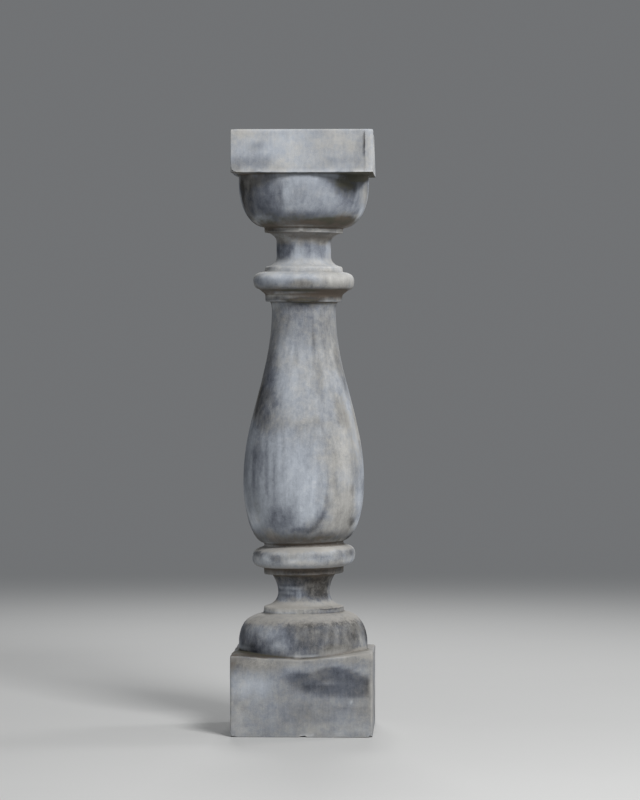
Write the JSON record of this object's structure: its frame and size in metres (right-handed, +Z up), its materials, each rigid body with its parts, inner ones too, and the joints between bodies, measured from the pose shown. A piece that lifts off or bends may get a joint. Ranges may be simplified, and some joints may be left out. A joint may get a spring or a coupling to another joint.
{
  "type": "stone baluster",
  "caption": "Weathered hand-carved stone baluster with a square plinth, pear-shaped turned shaft, ring and collar mouldings, bowl capital and square abacus.",
  "frame": {"origin": "middle of the underside of the plinth, on the shaft's axis", "axes": "+Z up along the shaft; -Y is the front face of the plinth and abacus; +X is to the right of it"},
  "size_m": [0.165, 0.165, 0.7],
  "materials": {
    "stone": "weathered blue-grey stone with a pale limewash bloom, dark slate patches and beige dust"
  },
  "bodies": {
    "root": {"baluster": "stone"}
  },
  "joints": []
}
